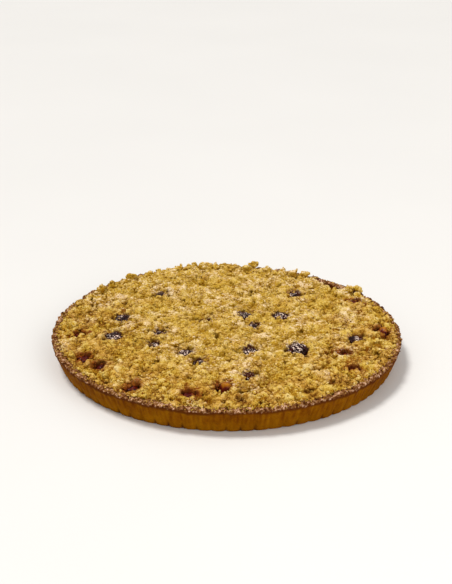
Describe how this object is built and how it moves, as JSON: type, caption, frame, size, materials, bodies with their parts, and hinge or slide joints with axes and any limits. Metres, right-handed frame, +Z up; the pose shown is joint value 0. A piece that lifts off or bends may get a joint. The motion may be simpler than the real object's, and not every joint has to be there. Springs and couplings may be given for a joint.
{
  "type": "raspberry crumble tart",
  "caption": "Round fluted tart: a pastry shell filled with raspberries under a golden crumble, with raspberries and dark filling showing between the crumbs.",
  "frame": {"origin": "middle of the shell's underside", "axes": "+Z up out of the crumble, -Y towards the viewer of the picture, +X to that viewer's right"},
  "size_m": [0.2798, 0.2798, 0.0288],
  "materials": {
    "pastry": "baked shortcrust pastry, matte, browned at the rim and the foot",
    "filling": "cooked raspberry filling, wet and glossy",
    "crumble": "baked crumble, matte and grainy, dusted with sugar",
    "raspberry": "baked raspberry, dark and moist, dusted with sugar"
  },
  "bodies": {
    "root": {"pastry_shell": "pastry", "raspberry_filling": "filling", "crumble_topping": "crumble", "raspberry_01": "raspberry", "raspberry_02": "raspberry", "raspberry_03": "raspberry", "raspberry_04": "raspberry", "raspberry_05": "raspberry", "raspberry_06": "raspberry", "raspberry_07": "raspberry", "raspberry_08": "raspberry", "raspberry_09": "raspberry", "raspberry_10": "raspberry", "raspberry_11": "raspberry", "raspberry_12": "raspberry", "raspberry_13": "raspberry", "raspberry_14": "raspberry", "raspberry_15": "raspberry", "raspberry_16": "raspberry"}
  },
  "joints": []
}
